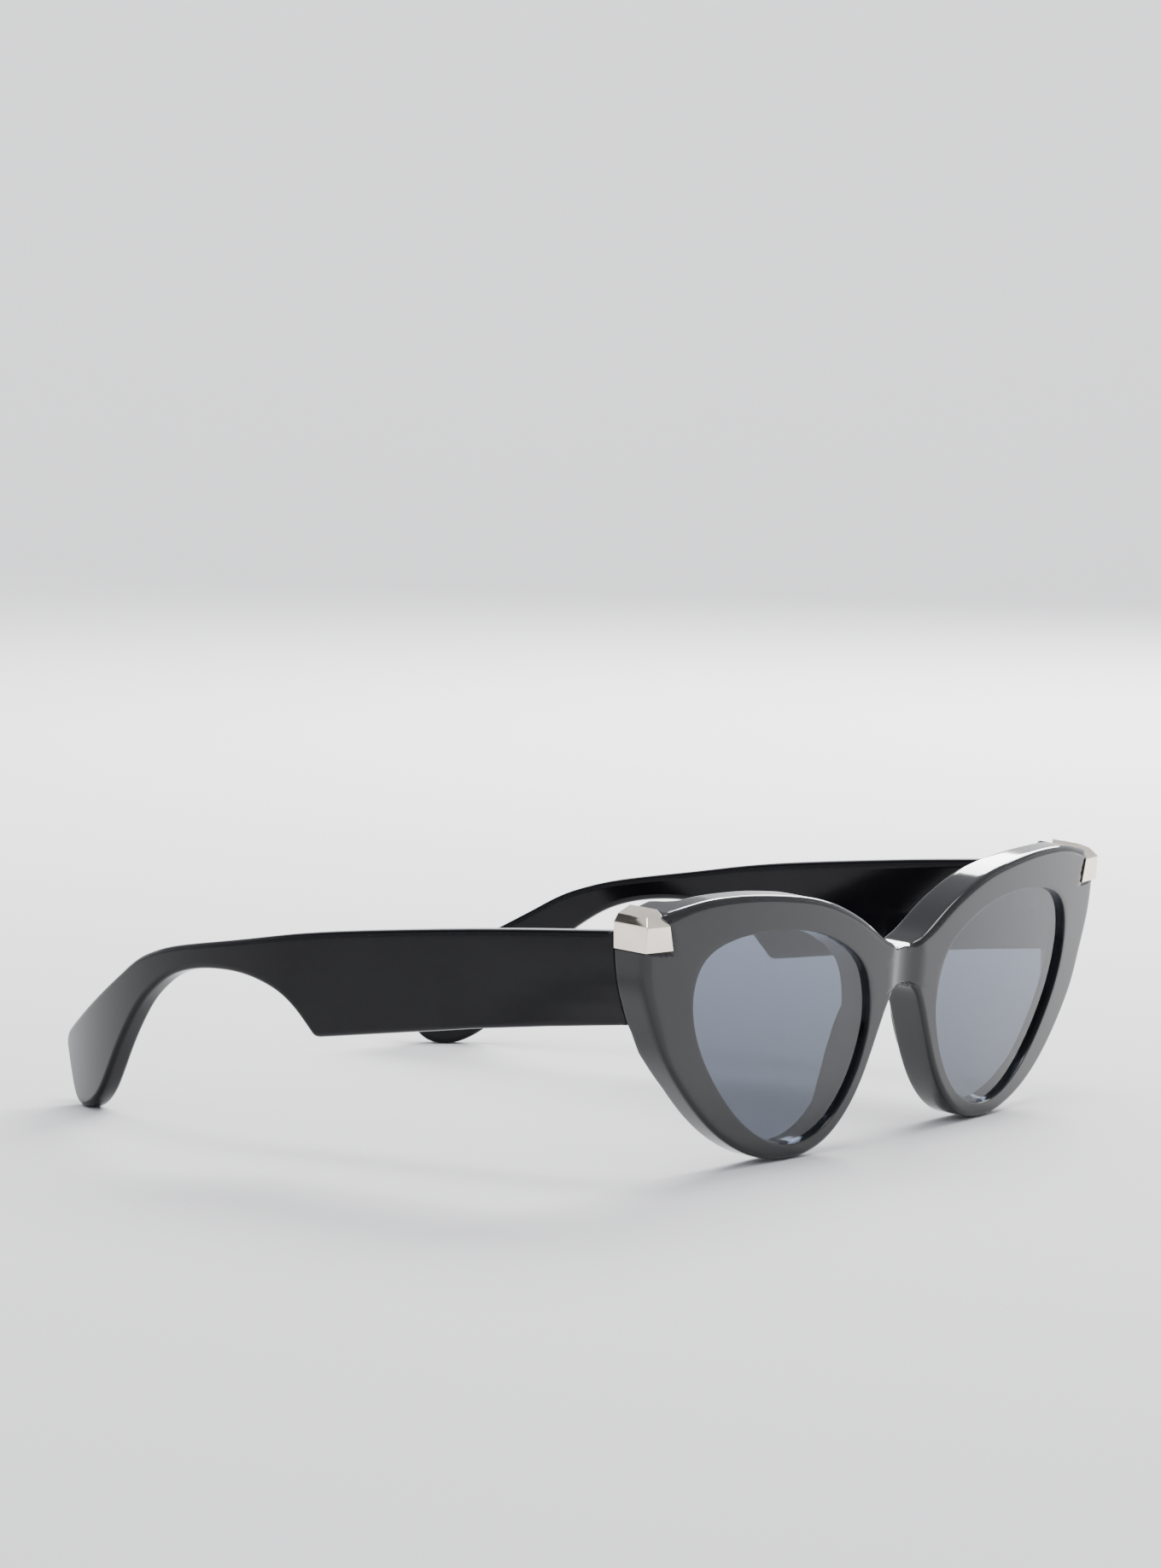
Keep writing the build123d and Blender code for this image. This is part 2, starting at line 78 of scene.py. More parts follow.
def natural_cubic(t, y, at, closed, start, end):
    """Cubic interpolation, periodic or with optional end slopes."""
    n = len(t)
    h = np.diff(t)
    slope = np.diff(y) / h
    a = np.zeros((n, n))
    b = np.zeros(n)
    for i in range(1, n - 1):
        a[i, i - 1] = h[i]
        a[i, i] = 2 * (h[i] + h[i - 1])
        a[i, i + 1] = h[i - 1]
        b[i] = 3 * (h[i] * slope[i - 1] + h[i - 1] * slope[i])
    if closed:
        a[0, 0], a[0, -1] = 1, -1
        a[-1, 0] = 2 * h[-1]
        a[-1, 1] = h[-1]
        a[-1, -2] = h[0]
        a[-1, -1] = 2 * h[0]
        b[-1] = 3 * (h[-1] * slope[0] + h[0] * slope[-1])
    else:
        a[0, 0], a[-1, -1] = (1, 1)
        if start is None:
            a[0, 0], a[0, 1] = 2, 1
            b[0] = 3 * slope[0]
        else:
            b[0] = start
        if end is None:
            a[-1, -1], a[-1, -2] = 2, 1
            b[-1] = 3 * slope[-1]
        else:
            b[-1] = end
    m = np.linalg.solve(a, b)
    k = np.clip(np.searchsorted(t, at, side="right") - 1, 0, n - 2)
    u = (at - t[k]) / h[k]
    h00, h10 = 2 * u**3 - 3 * u**2 + 1, u**3 - 2 * u**2 + u
    h01, h11 = -2 * u**3 + 3 * u**2, u**3 - u**2
    return h00 * y[k] + h10 * h[k] * m[k] + h01 * y[k + 1] + h11 * h[k] * m[k + 1]


def even(line, count, closed=False):
    """A line resampled to evenly spaced points; a closed one doesn't repeat its first."""
    step = np.r_[0, np.cumsum(np.linalg.norm(np.diff(line, axis=0), axis=1))]
    at = np.linspace(0, step[-1], count + 1)[:-1] if closed else np.linspace(0, step[-1], count)
    return np.column_stack([np.interp(at, step, line[:, k]) for k in range(line.shape[1])])


def smoothstep(x, low, high):
    u = np.clip((np.asarray(x, float) - low) / (high - low), 0, 1)
    return u * u * (3 - 2 * u)


def sag_at(x):
    """How far the curved front face has come back, this far from the middle."""
    return FRONT_RADIUS - np.sqrt(FRONT_RADIUS**2 - np.asarray(x, float)**2)


def lean_back(x, back, v):
    """From the upright front to the row frame, in metres."""
    y = back * math.cos(LEAN) - v * math.sin(LEAN) + FRONT_Y
    z = back * math.sin(LEAN) + v * math.cos(LEAN)
    return np.stack(np.broadcast_arrays(x, y, z), -1) * MM


def to_row(x, depth, v):
    """From a place on the front, with its depth square to the curved face, to the row frame."""
    x, depth, v = np.asarray(x, float), np.asarray(depth, float), np.asarray(v, float)
    return lean_back(x, sag_at(x) + depth / np.sqrt(1 - (x / FRONT_RADIUS)**2), v)


# ---------------------------------------------------------------- meshes

def make_object(name, verts, faces, smooth=True):
    mesh = bpy.data.meshes.new(name)
    mesh.from_pydata([tuple(map(float, v)) for v in verts], [], [tuple(map(int, f)) for f in faces])
    mesh.validate()
    obj = bpy.data.objects.new(name, mesh)
    bpy.context.scene.collection.objects.link(obj)
    bm = bmesh.new()
    bm.from_mesh(mesh)
    bmesh.ops.remove_doubles(bm, verts=bm.verts, dist=1e-6)
    bmesh.ops.dissolve_degenerate(bm, edges=bm.edges, dist=1e-7)
    bmesh.ops.recalc_face_normals(bm, faces=bm.faces)
    bm.to_mesh(mesh)
    bm.free()
    for p in mesh.polygons:
        p.use_smooth = smooth
    return obj


def grid_faces(rows, cols, wrap_rows=False, wrap_cols=False, start=0):
    """Quads of a rows by cols grid of points."""
    faces = []
    for i in range(rows if wrap_rows else rows - 1):
        for j in range(cols if wrap_cols else cols - 1):
            a, b = i * cols + j, i * cols + (j + 1) % cols
            c, d = ((i + 1) % rows) * cols + (j + 1) % cols, ((i + 1) % rows) * cols + j
            faces.append((start + a, start + b, start + c, start + d))
    return faces


def mirror_copy(obj, name):
    """The same piece on the other side."""
    mesh = obj.data.copy()
    mesh.name = name
    mesh.transform(Matrix.Scale(-1, 4, (1, 0, 0)))
    mesh.flip_normals()
    copy = bpy.data.objects.new(name, mesh)
    bpy.context.scene.collection.objects.link(copy)
    return copy


# ---------------------------------------------------------------- materials

def material(name):
    mat = bpy.data.materials.new(name)
    mat.use_nodes = True
    tree = mat.node_tree
    tree.nodes.clear()
    out = tree.nodes.new("ShaderNodeOutputMaterial")
    return mat, tree, out


def node(tree, kind, **inputs):
    n = tree.nodes.new(kind)
    for key, value in inputs.items():
        n.inputs[key.replace("_", " ")].default_value = value
    return n


def noise(tree, scale, detail=3.0, roughness=0.5, stretch=None):
    """Noise in the object's own metres."""
    coord = tree.nodes.new("ShaderNodeTexCoord")
    tex = node(tree, "ShaderNodeTexNoise", Scale=scale, Detail=detail, Roughness=roughness)
    if stretch:
        mapping = tree.nodes.new("ShaderNodeMapping")
        mapping.inputs["Scale"].default_value = stretch
        tree.links.new(coord.outputs["Object"], mapping.inputs["Vector"])
        tree.links.new(mapping.outputs["Vector"], tex.inputs["Vector"])
    else:
        tree.links.new(coord.outputs["Object"], tex.inputs["Vector"])
    return tex.outputs["Fac"]


def ramp(tree, fac, stops):
    r = tree.nodes.new("ShaderNodeValToRGB")
    r.color_ramp.elements[0].position, r.color_ramp.elements[0].color = stops[0]
    r.color_ramp.elements[1].position, r.color_ramp.elements[1].color = stops[-1]
    for position, colour in stops[1:-1]:
        e = r.color_ramp.elements.new(position)
        e.color = colour
    tree.links.new(fac, r.inputs["Fac"])
    return r.outputs["Color"]


def grey(v):
    return (v, v, v, 1.0)


def bump(tree, height, distance, strength=1.0, normal=None):
    b = node(tree, "ShaderNodeBump", Strength=strength, Distance=distance)
    tree.links.new(height, b.inputs["Height"])
    if normal is not None:
        tree.links.new(normal, b.inputs["Normal"])
    return b.outputs["Normal"]


def acetate(name, tone, rough, wave, shine):
    """Polished black plastic: a faint moulded wave, fine polishing haze and a slightly uneven black."""
    mat, tree, out = material(name)
    p = node(tree, "ShaderNodeBsdfPrincipled", IOR=1.5)
    p.inputs["Specular IOR Level"].default_value = shine
    tree.links.new(p.outputs["BSDF"], out.inputs["Surface"])
    cloud = noise(tree, 60.0, 4.0)
    dark = tuple(c * 0.8 for c in tone[:3]) + (1.0,)
    light = tuple(c * 1.25 for c in tone[:3]) + (1.0,)
    tree.links.new(ramp(tree, cloud, [(0.35, dark), (0.65, light)]), p.inputs["Base Color"])
    haze = noise(tree, 350.0, 5.0, 0.6, (1.0, 0.35, 1.0))
    polish = ramp(tree, haze, [(0.3, grey(rough * 0.85)), (0.7, grey(rough * 1.2))])
    tree.links.new(polish, p.inputs["Roughness"])
    swell = noise(tree, 45.0, 1.0, 0.4)
    grain = noise(tree, 2500.0, 2.0, 0.5)
    soft = bump(tree, swell, wave)
    tree.links.new(bump(tree, grain, 0.0000012, 1.0, soft), p.inputs["Normal"])
    return mat


def metal(name, tone, rough, grain_size, stretch=None, brushed=0.0000008):
    """Plated or drawn metal: its polish varies and carries fine marks."""
    mat, tree, out = material(name)
    p = node(tree, "ShaderNodeBsdfPrincipled", Metallic=1.0)
    tree.links.new(p.outputs["BSDF"], out.inputs["Surface"])
    cloud = noise(tree, 220.0, 3.0)
    dark = tuple(c * 0.94 for c in tone[:3]) + (1.0,)
    light = tuple(min(1.0, c * 1.05) for c in tone[:3]) + (1.0,)
    tree.links.new(ramp(tree, cloud, [(0.35, dark), (0.65, light)]), p.inputs["Base Color"])
    haze = noise(tree, 900.0, 4.0, 0.6, stretch)
    polish = ramp(tree, haze, [(0.3, grey(rough * 0.8)), (0.7, grey(rough * 1.25))])
    tree.links.new(polish, p.inputs["Roughness"])
    marks = noise(tree, grain_size, 3.0, 0.6, stretch)
    tree.links.new(bump(tree, marks, brushed), p.inputs["Normal"])
    return mat


def tinted_lens(name, top_tint, shaded_low_tint, z_low, z_high):
    """Grey sun lens, darker towards the bottom, where that darkening is painted shade for the glasses' shadow
    seen through it: light passes its two surfaces and is tinted at each.
    """
    mat, tree, out = material(name)
    coord = tree.nodes.new("ShaderNodeTexCoord")
    split = tree.nodes.new("ShaderNodeSeparateXYZ")
    tree.links.new(coord.outputs["Object"], split.inputs["Vector"])
    span = tree.nodes.new("ShaderNodeMapRange")
    span.inputs["From Min"].default_value = z_low
    span.inputs["From Max"].default_value = z_high
    tree.links.new(split.outputs["Z"], span.inputs["Value"])
    # The tint darkens towards the lens's bottom: painted shade for the shadow seen through the lens.
    tint = ramp(tree, span.outputs["Result"], [(0.0, shaded_low_tint), (1.0, top_tint)])
    p = node(tree, "ShaderNodeBsdfPrincipled", IOR=1.5)
    p.inputs["Transmission Weight"].default_value = 1.0
    tree.links.new(tint, p.inputs["Base Color"])
    haze = noise(tree, 300.0, 3.0)
    tree.links.new(ramp(tree, haze, [(0.3, grey(0.0)), (0.7, grey(0.03))]), p.inputs["Roughness"])
    tree.links.new(p.outputs["BSDF"], out.inputs["Surface"])
    return mat


def paper(name, tone):
    """The plain pale floor and backdrop, very slightly mottled."""
    mat, tree, out = material(name)
    p = node(tree, "ShaderNodeBsdfPrincipled", Roughness=0.85)
    p.inputs["Specular IOR Level"].default_value = 0.2
    tree.links.new(p.outputs["BSDF"], out.inputs["Surface"])
    cloud = noise(tree, 6.0, 5.0)
    dark = tuple(c * 0.995 for c in tone[:3]) + (1.0,)
    tree.links.new(ramp(tree, cloud, [(0.3, dark), (0.7, tone)]), p.inputs["Base Color"])
    return mat


LENS_LOW, LENS_HIGH = (p[2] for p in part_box("lens_left"))
BLACK = acetate("black_acetate", (0.0035, 0.0035, 0.0042), 0.07, 0.00003, 0.5)
ARM_BLACK = acetate("arm_acetate", (0.003, 0.003, 0.004), 0.07, 0.00004, 0.2)
PAD_BLACK = acetate("pad_acetate", (0.003, 0.003, 0.0035), 0.1, 0.00002, 0.15)
GOLD = metal("pale_gold", (0.97, 0.86, 0.73), 0.09, 1500.0)
HINGE_BLACK = metal("black_plating", (0.035, 0.035, 0.038), 0.28, 1800.0, (1.0, 1.0, 0.1), 0.000002)
STEEL = metal("screw_steel", (0.16, 0.16, 0.165), 0.2, 2500.0)
WIRE = metal("core_wire", (0.6, 0.6, 0.58), 0.3, 1200.0, (1.0, 0.1, 1.0))
# The second, darker tint is painted shade at the lens's bottom, standing in for the shadow seen through it.
TINT = tinted_lens("grey_tint", (0.088, 0.105, 0.145, 1), (0.052, 0.062, 0.085, 1), LENS_LOW, LENS_HIGH)
SLOT_LOOK = {"frame_acetate": BLACK, "temple_acetate": ARM_BLACK, "pad_acetate": PAD_BLACK, "lens_tint": TINT,
             "cap_gold": GOLD, "hinge_metal": HINGE_BLACK, "screw_metal": STEEL, "wire_metal": WIRE}
SLOT_OF = {s["node"]: s["material_slot"] for s in frame["record"]["subparts"]}


def dress(obj, look):
    obj.data.materials.clear()
    obj.data.materials.append(look)


for name, obj in frame["nodes"].items():
    dress(obj, SLOT_LOOK[SLOT_OF[name]])


# ---------------------------------------------------------------- the front

# Outlines as (across, up)
TOP_EDGE = [(0, 34.2), (3.4, 34.8), (6.8, 36.2), (13.1, 39.7), (21.5, 43.3), (28.5, 45.2), (36.5, 46.35),
            (45, 47.05), (52, 47.15), (59, 46.65), (72, 44.3)]
LOWER_EDGE = [(72, 39), (71.3, 33.7), (69, 27.5), (65.3, 20.6), (59.4, 13.4), (51, 6.3), (40.9, 1.5),
              (31, -0.05), (21, 2.2), (12.9, 9.4), (8.6, 17.1), (5.9, 22.8), (3.4, 26.4), (0, 27.5)]
MIDDLE_LINE = [[0, 29.5], [0, 32.0]]
OPENING = [(10.8, 24), (12.8, 31), (18, 35.5), (28.2, 39.3), (41, 40.5), (52, 39.3), (57.8, 36),
           (59.5, 30.1), (57.5, 22.6), (52.2, 14.8), (44.2, 7.4), (35.2, 3.2), (27, 3.1), (19.7, 6.4),
           (14.2, 12.6), (11.5, 18.8)]
JOINT_Y = 9.15  # the end piece's back face
CAP_LOW, CAP_IN = 39.1, 65.6  # the cap's lowest point and its inner low corner
CAP_WALL = 0.9
RAYS = 560  # sections round each lens opening

# Where the end piece's back may stand
END_LOW = ([11.5, 13.5, 15.5, 19.0, 22.8, 26.0, 29.0], [8.2, 8.8, 9.4, 10.4, 11.7, 12.8, 14.0])  # up, back
END_INNER = ([54.0, 55.5, 57.8, 60.0, 61.4, 62.5], [7.4, 7.8, 8.4, 9.4, 11.2, 15.0])  # across, back
END_SOFT, RIM_SOFT = 0.5, 0.03  # how softly those two meet, and how softly the end piece leaves the rim

# Roundings of the front's edges
FACE_ROUND = 1.0  # from the face to the rim's outside
TOP_ACROSS, TOP_DEEP = 0.45, 0.1  # wider and shallower along the brow
SIDE_ACROSS, SIDE_DEEP = 0.7, 0.5  # wider and deeper down the end piece's side
BACK_ROUND = 0.6
BACK_TOP_LESS, BACK_JOINT_LESS = 0.25, 0.45  # tighter along the brow, and at the joint
WALL_ROUND = 0.25  # from the face into the lens opening
WALL_BACK_ROUND = 0.4

# The ranges over which each kind of rounding comes in
MIDDLE_FADE = (0.0, 2.5)  # across
BROW_REACH, BROW_UP, BROW_WAY = 12, (36, 42), (0.1, 0.5)  # out along a ray, height there, its upward part
SIDE_WAY, SIDE_UP = (0.5, 0.9), (19, 27)  # a ray's outward part, and the height of its end
JOINT_UP, JOINT_ACROSS = (24, 26.5), (62, 66)
LEAST_SQUARE = 0.45
FACE_SHARE, BACK_SHARE = 0.42, 0.3  # the most of a ray that each rounding may take

# Where the cap covers the corner
CAP_SLOPE = 0.27  # how its inner edge leans outwards, for each millimetre up
UNDER_EDGE = (0.2, 0.4)  # how far inside its edges the cut comes in
UNDER_DEEP, UNDER_TOP_GAP = 0.8, 0.3
UNDER_FACE, UNDER_SIDE, UNDER_TOP = (0.9, 2.4), (70.0, 71.8), (42.0, 44.4)  # depth, across, up

# The upright hollow in the front of the bridge
SCOOP_HALF, SCOOP_DEEP, SCOOP_POWER = 4.6, 0.9, 1.15


def ray_hits(start, way, loop):
    """How far along each ray the closed loop is, and the boundary's direction there."""
    a = loop
    b = np.roll(loop, -1, axis=0)
    best = np.full(len(start), np.inf)
    along = np.zeros((len(start), 2))
    for i in range(len(start)):
        d = b - a
        den = way[i, 0] * d[:, 1] - way[i, 1] * d[:, 0]
        q = a - start[i]
        with np.errstate(divide="ignore", invalid="ignore"):
            s = (q[:, 0] * d[:, 1] - q[:, 1] * d[:, 0]) / den
            u = (q[:, 0] * way[i, 1] - q[:, 1] * way[i, 0]) / den
        s[(u < -1e-9) | (u > 1 + 1e-9) | (s < 0) | ~np.isfinite(s)] = np.inf
        k = int(np.argmin(s))
        best[i] = s[k]
        along[i] = d[k] / max(np.linalg.norm(d[k]), 1e-12)
    return best, along


def back_depth(x, v):
    """How far the back of the front is behind its face: the rim, and the end piece up to the joint."""
    x, v = np.asarray(x, float), np.asarray(v, float)
    square = np.sqrt(1 - (x / FRONT_RADIUS)**2)
    joint = (JOINT_Y + v * math.sin(LEAN)) / math.cos(LEAN)
    low, inner = np.interp(v, *END_LOW), np.interp(x, *END_INNER)
    end = (low + inner - np.sqrt((low - inner)**2 + END_SOFT)) / 2
    rim = sag_at(x) + RIM_DEPTH / square
    back = (end + rim + np.sqrt((end - rim)**2 + RIM_SOFT)) / 2
    return (np.minimum(np.where(end > rim - 1, back, rim), joint) - sag_at(x)) * square


def opening_rays(loop):
    """Rays square to the lens opening: starts, ways, distances to the outline and its direction there."""
    opening = smooth_curve(OPENING, RAYS, closed=True)
    along = np.roll(opening, -1, axis=0) - np.roll(opening, 1, axis=0)
    along /= np.linalg.norm(along, axis=1)[:, None]
    starts, ways = list(opening), list(np.column_stack([-along[:, 1], along[:, 0]]))
    # Rays are added so that one ends in each sharp corner of the outline.
    for corner in (TOP_EDGE[-1], LOWER_EDGE[0], TOP_EDGE[0], LOWER_EDGE[-1]):
        s, w = np.array(starts), np.array(ways)
        to = np.array(corner) - s
        side = w[:, 0] * to[:, 1] - w[:, 1] * to[:, 0]
        face = (w * to).sum(1) > 0
        for i in range(len(s)):
            j = (i + 1) % len(s)
            if face[i] and face[j] and side[i] * side[j] <= 0:
                u = side[i] / (side[i] - side[j])
                p = s[i] + (s[j] - s[i]) * u
                d = np.array(corner) - p
                starts.insert(i + 1, p)
                ways.insert(i + 1, d / np.linalg.norm(d))
                break
    s, w = np.array(starts), np.array(ways)
    far, edge = ray_hits(s, w, loop)
    return s, w, far, edge


def quarter(count):
    """The angles of a quarter turn in equal steps."""
    return [k / count * math.pi / 2 for k in range(count + 1)]


def cross_section(length, across, deep, back_across, back_deep, side_depth):
    """One section of the rim, from the opening's wall round the face, the outside and the back.

    Each point is (outwards from the opening, depth, whether that depth is measured from the back).
    """
    pts = []
    for share in (1.0, 0.8, 0.55, 0.25):
        pts.append((0.0, WALL_ROUND + (RIM_DEPTH - WALL_BACK_ROUND - WALL_ROUND) * share, False))
    for f in quarter(6)[1:]:
        pts.append((WALL_ROUND * (1 - math.cos(f)), WALL_ROUND * (1 - math.sin(f)), False))
    for k in range(1, 9):
        pts.append((WALL_ROUND + (length - across - WALL_ROUND) * k / 9, 0.0, False))
    for f in quarter(10):
        pts.append((length - across + across * math.sin(f), deep * (1 - math.cos(f)), False))
    for k in range(1, 7):
        pts.append((length, deep + (side_depth - back_deep - deep) * k / 7, False))
    for f in quarter(6):
        pts.append((length - back_across + back_across * math.cos(f), back_deep * (1 - math.sin(f)), True))
    for k in range(1, 22):
        pts.append((length - back_across - (length - back_across - WALL_BACK_ROUND) * k / 22, 0.0, True))
    for f in quarter(4):
        pts.append((WALL_BACK_ROUND * (1 - math.sin(f)), WALL_BACK_ROUND * (1 - math.cos(f)), True))
    return pts


def front_half():
    """One half of the front as a ring of cross-sections round the lens opening."""
    top = smooth_curve(TOP_EDGE, 700, start=(3.4, 0.0), end=(4.0, -0.69))
    low = smooth_curve(LOWER_EDGE, 900, end=(-1.9, 0.0))
    s, w, far, edge = opening_rays(np.vstack([top, low, MIDDLE_LINE]))
    outer = s + w * far[:, None]
    outer[outer[:, 0] < 1e-6, 0] = 0.0
    # The middle line is no edge, because the two halves join there, so the roundings fade out towards it.
    is_edge = smoothstep(outer[:, 0], *MIDDLE_FADE)
    on_top = smoothstep(s[:, 1] + w[:, 1] * BROW_REACH, *BROW_UP) * smoothstep(w[:, 1], *BROW_WAY)
    on_side = smoothstep(w[:, 0], *SIDE_WAY) * smoothstep(outer[:, 1], *SIDE_UP)
    at_joint = smoothstep(outer[:, 1], *JOINT_UP) * smoothstep(outer[:, 0], *JOINT_ACROSS)
    across = (FACE_ROUND + TOP_ACROSS * on_top + SIDE_ACROSS * on_side) * is_edge
    deep = (FACE_ROUND - TOP_DEEP * on_top + SIDE_DEEP * on_side) * is_edge
    back_round = (BACK_ROUND - BACK_TOP_LESS * on_top - BACK_JOINT_LESS * at_joint * (1 - on_top)) * is_edge
    # A ray that meets the outline at a slant needs more of its length for the same rounding.
    square = np.clip(np.abs(w[:, 0] * edge[:, 1] - w[:, 1] * edge[:, 0]), LEAST_SQUARE, 1)
    rows = []
    for i in range(len(s)):
        face_part = min(across[i] / square[i], FACE_SHARE * far[i])
        back_part = min(back_round[i] / square[i], BACK_SHARE * far[i])
        side_depth = float(back_depth(*outer[i]))
        line = []
        section = cross_section(far[i], face_part, deep[i], back_part, back_round[i], side_depth)
        for q, d, from_back in section:
            p = s[i] + w[i] * q
            if from_back:
                d = float(back_depth(p[0], p[1])) - d
            line.append((p[0], d, p[1]))
        rows.append(line)
    return np.array(rows)


def bridge_scoop(x):
    """The shallow upright hollow in the front of the bridge."""
    u = np.clip(np.abs(x) / SCOOP_HALF, 0, 1)
    return SCOOP_DEEP * (1 - u**2) ** SCOOP_POWER


def under_cap(x, depth, v):
    """Cuts the corner back where the cap covers it."""
    above, outside = v - CAP_LOW, x - (v - CAP_LOW) * CAP_SLOPE - CAP_IN
    under = smoothstep(above, *UNDER_EDGE) * smoothstep(outside, *UNDER_EDGE)
    depth = depth + under * UNDER_DEEP * (1 - smoothstep(depth, *UNDER_FACE))
    x = x - under * CAP_WALL * smoothstep(x, *UNDER_SIDE)
    v = v - under * (CAP_WALL + UNDER_TOP_GAP) * smoothstep(v, *UNDER_TOP)
    return x, depth, v


def build_front():
    """Both halves of the front, joined at the middle of the bridge."""
    rows = front_half()
    x, depth, v = rows[..., 0], rows[..., 1], rows[..., 2]
    share = np.clip(1 - depth / np.maximum(back_depth(x, v), 1e-6), 0, 1)
    depth = depth + bridge_scoop(x) * share
    flat = to_row(*under_cap(x, depth, v)).reshape(-1, 3)
    faces = grid_faces(*rows.shape[:2], wrap_rows=True, wrap_cols=True)
    on_middle = np.abs(rows[..., 0]).reshape(-1) < 1e-6
    faces = [f for f in faces if not all(on_middle[list(f)])]
    both = faces + [tuple(i + len(flat) for i in reversed(f)) for f in faces]
    return make_object("front_shell", np.vstack([flat, flat * np.array([-1, 1, 1])]), both)


front = build_front()
dress(front, BLACK)
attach(front, "front")
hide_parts("front_frame")


# ---------------------------------------------------------------- lenses

LENS_BACK = 1.0  # from the front's face to the lens's
LENS_THICK = 1.8
LENS_IN_GROOVE = 0.6


def build_lens(name):
    """A curved plate whose edge runs into the rim's groove."""
    edge = smooth_curve(OPENING, 240, closed=True)
    along = np.roll(edge, -1, axis=0) - np.roll(edge, 1, axis=0)
    along /= np.linalg.norm(along, axis=1)[:, None]
    edge = edge + LENS_IN_GROOVE * np.column_stack([-along[:, 1], along[:, 0]])
    middle = edge.mean(0)
    rings, n = 26, len(edge)
    verts, faces = [], []
    for depth in (LENS_BACK, LENS_BACK + LENS_THICK):
        for r in range(rings):
            p = middle + (edge - middle) * ((r + 1) / rings)
            verts.extend(to_row(p[:, 0], np.full(n, depth), p[:, 1]))
    for side in range(2):
        start = side * rings * n
        faces += grid_faces(rings, n, wrap_cols=True, start=start)
        verts.append(to_row(middle[0], LENS_BACK + side * LENS_THICK, middle[1]))
        faces += [(2 * rings * n + side, start + k, start + (k + 1) % n) for k in range(n)]
    for k in range(n):
        a, b = (rings - 1) * n + k, (rings - 1) * n + (k + 1) % n
        faces.append((a, b, b + rings * n, a + rings * n))
    obj = make_object(name, verts, faces)
    crease(obj, 50)
    return obj


def crease(obj, degrees):
    """Smooth shading except across edges sharper than an angle."""
    mesh = obj.data
    bm = bmesh.new()
    bm.from_mesh(mesh)
    limit = math.radians(degrees)
    for e in bm.edges:
        if len(e.link_faces) == 2:
            e.smooth = e.calc_face_angle(0) < limit
    bm.to_mesh(mesh)
    bm.free()


def both_sides(left, node_left, node_right, body_left, body_right, look):
    """Rides, replacement, slot and material for a left piece and its mirror image."""
    right = mirror_copy(left, left.name.replace("left", "right"))
    for obj, cad, body in ((left, node_left, body_left), (right, node_right, body_right)):
        dress(obj, look)
        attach(obj, body)
        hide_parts(cad)


lens = build_lens("sun_lens_left")
both_sides(lens, "lens_left", "lens_right", "front", "front", TINT)


# ---------------------------------------------------------------- corner caps

CAP_TURN = math.radians(8.5)  # the front face's direction at the corner
CAP_SIDE = 72.22
CAP_FRONT = -0.32  # how far it stands in front of the front's face
CAP_CORNER = 0.8  # the round between its front and its side
CAP_SOFT = 0.16


def turned(x, back, v):
    """From directions square to the corner's front face to the upright front."""
    c, q = math.cos(CAP_TURN), math.sin(CAP_TURN)
    return Vector((x * c - back * q, x * q + back * c, v))


def soften(bm, edges, width, segments):
    """Rounds these edges."""
    bmesh.ops.bevel(bm, geom=edges, offset=width, offset_type="OFFSET", segments=segments, profile=0.5,
                    affect="EDGES", clamp_overlap=True)


def build_cap(name):
    """A faceted corner, cut from a block by its flat faces, with every edge softened."""
    bm = bmesh.new()
    bmesh.ops.create_cube(bm, size=60.0, matrix=Matrix.Translation((72, 6.1, 42)))
    corner = Vector((72.0, float(sag_at(72.0)), 0.0))
    # Each facet is a point on it and the way it faces.
    facets = [
        (corner + turned(0, CAP_FRONT, 0), turned(0, -1, 0)),
        (corner + turned(0, CAP_FRONT, 43.4), turned(0, -2.1, 1.9)),
        (Vector((CAP_SIDE, 0, 0)), Vector((1, 0, 0))),
        (Vector((CAP_SIDE, 0, 43.55)), Vector((1.4, 0, 1.3))),
        (Vector((71.0, 0, 44.9)), Vector((1.1, 0, 3.55))),
        (Vector((CAP_IN, 0, CAP_LOW)), Vector((-6.95, 0, 1.9))),
        (Vector((0, 0, CAP_LOW)), Vector((0, 0, -1))),
        (Vector((0, (JOINT_Y - 0.02) / math.cos(LEAN), 0)), Vector((0, math.cos(LEAN), -math.sin(LEAN)))),
    ]
    for point, out in facets:
        everything = bm.verts[:] + bm.edges[:] + bm.faces[:]
        cut = bmesh.ops.bisect_plane(bm, geom=everything, plane_co=point, plane_no=out.normalized(),
                                     clear_outer=True)
        rim = [e for e in cut["geom_cut"] if isinstance(e, bmesh.types.BMEdge)]
        bmesh.ops.contextual_create(bm, geom=rim)
    bmesh.ops.remove_doubles(bm, verts=bm.verts, dist=1e-4)
    bmesh.ops.recalc_face_normals(bm, faces=bm.faces)

    upright = [e for e in bm.edges if abs((e.verts[0].co - e.verts[1].co).normalized().z) > 0.97
               and max(v.co.y for v in e.verts) < corner.y + 1 and min(v.co.x for v in e.verts) > 71]
    soften(bm, upright, CAP_CORNER, 6)
    bmesh.ops.remove_doubles(bm, verts=bm.verts, dist=0.01)
    sharp = [e for e in bm.edges if len(e.link_faces) == 2 and e.calc_face_angle(0) > math.radians(20)]
    soften(bm, sharp, CAP_SOFT, 3)
    bm.verts.index_update()
    p = np.array([tuple(v.co) for v in bm.verts])
    faces = [[v.index for v in f.verts] for f in bm.faces]
    bm.free()
    obj = make_object(name, lean_back(p[:, 0], p[:, 1], p[:, 2]), faces)
    weighted_normals(obj)
    return obj


